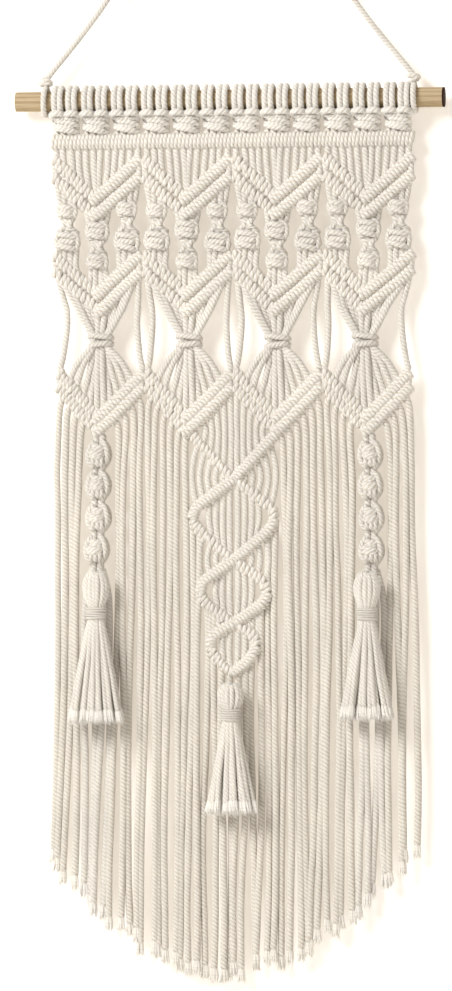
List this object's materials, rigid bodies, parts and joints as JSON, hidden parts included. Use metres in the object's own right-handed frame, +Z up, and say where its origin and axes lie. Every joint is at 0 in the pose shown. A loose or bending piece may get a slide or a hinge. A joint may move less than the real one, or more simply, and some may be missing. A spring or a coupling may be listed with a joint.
{
  "type": "tapestry wall hanging",
  "caption": "Cream cotton macrame wall hanging on a round wooden dowel, with zigzag knot rows, tassels, fringe and a hanging cord.",
  "frame": {"origin": "where the underside of the hanging cord's bend bears on its hook, 202.5 mm above the dowel's axis", "axes": "+Z up, +Y towards the wall, so the worked face looks along -Y, and +X to the viewer's right along the dowel"},
  "size_m": [0.35, 0.0406, 0.9255],
  "materials": {
    "cord_cotton": "matt twisted cotton cord",
    "fringe_cotton": "matt twisted cotton cord with brushed ends",
    "tassel_cotton": "matt twisted cotton cord with brushed ends",
    "dowel_wood": "sanded bare wood"
  },
  "bodies": {
    "hanger": {"hanging_cord": "cord_cotton", "hanger_loop_left": "cord_cotton", "hanger_loop_right": "cord_cotton"},
    "panel": {"dowel": "dowel_wood", "cord_pair_01": "cord_cotton", "cord_pair_02": "cord_cotton", "cord_pair_03": "cord_cotton", "cord_pair_04": "cord_cotton", "cord_pair_05": "cord_cotton", "cord_pair_06": "cord_cotton", "cord_pair_07": "cord_cotton", "cord_pair_08": "cord_cotton", "cord_pair_09": "cord_cotton", "cord_pair_10": "cord_cotton", "cord_pair_11": "cord_cotton", "cord_pair_12": "cord_cotton", "hitch_bar": "cord_cotton", "chevron_1_1": "cord_cotton", "chevron_1_2": "cord_cotton", "chevron_1_3": "cord_cotton", "chevron_1_4": "cord_cotton", "chevron_2_1": "cord_cotton", "chevron_2_2": "cord_cotton", "chevron_2_3": "cord_cotton", "chevron_2_4": "cord_cotton", "chevron_3_1": "cord_cotton", "chevron_3_2": "cord_cotton", "chevron_3_3": "cord_cotton", "chevron_3_4": "cord_cotton", "sennit_01": "cord_cotton", "sennit_02": "cord_cotton", "sennit_03": "cord_cotton", "sennit_04": "cord_cotton", "sennit_05": "cord_cotton", "sennit_06": "cord_cotton", "sennit_07": "cord_cotton", "sennit_08": "cord_cotton", "sennit_09": "cord_cotton", "sennit_10": "cord_cotton", "sennit_11": "cord_cotton", "sennit_12": "cord_cotton", "cross_knot_1": "cord_cotton", "cross_knot_2": "cord_cotton", "cross_knot_3": "cord_cotton", "cross_knot_4": "cord_cotton", "bobble_sennit_left": "cord_cotton", "bobble_sennit_right": "cord_cotton", "center_braid": "cord_cotton", "fringe_left_edge": "fringe_cotton", "fringe_left": "fringe_cotton", "fringe_center": "fringe_cotton", "fringe_right": "fringe_cotton", "fringe_right_edge": "fringe_cotton"},
    "tassel_left": {"tassel_left": "tassel_cotton", "tassel_left_wrap": "tassel_cotton"},
    "tassel_center": {"tassel_center": "tassel_cotton", "tassel_center_wrap": "tassel_cotton"},
    "tassel_right": {"tassel_right": "tassel_cotton", "tassel_right_wrap": "tassel_cotton"}
  },
  "joints": [
    {"name": "panel_lift", "type": "hinge", "parent": "hanger", "child": "panel", "pos_m": [0, 0, -0.2025], "axis": [-1, 0, 0], "range_deg": [0, 90]},
    {"name": "tassel_left_swing", "type": "hinge", "parent": "panel", "child": "tassel_left", "pos_m": [-0.11025, -0.015, -0.5815], "axis": [0, 1, 0], "range_deg": [-15, 15]},
    {"name": "tassel_center_swing", "type": "hinge", "parent": "panel", "child": "tassel_center", "pos_m": [0, -0.015, -0.6715], "axis": [0, 1, 0], "range_deg": [-15, 15]},
    {"name": "tassel_right_swing", "type": "hinge", "parent": "panel", "child": "tassel_right", "pos_m": [0.11025, -0.015, -0.5815], "axis": [0, 1, 0], "range_deg": [-15, 15]}
  ]
}
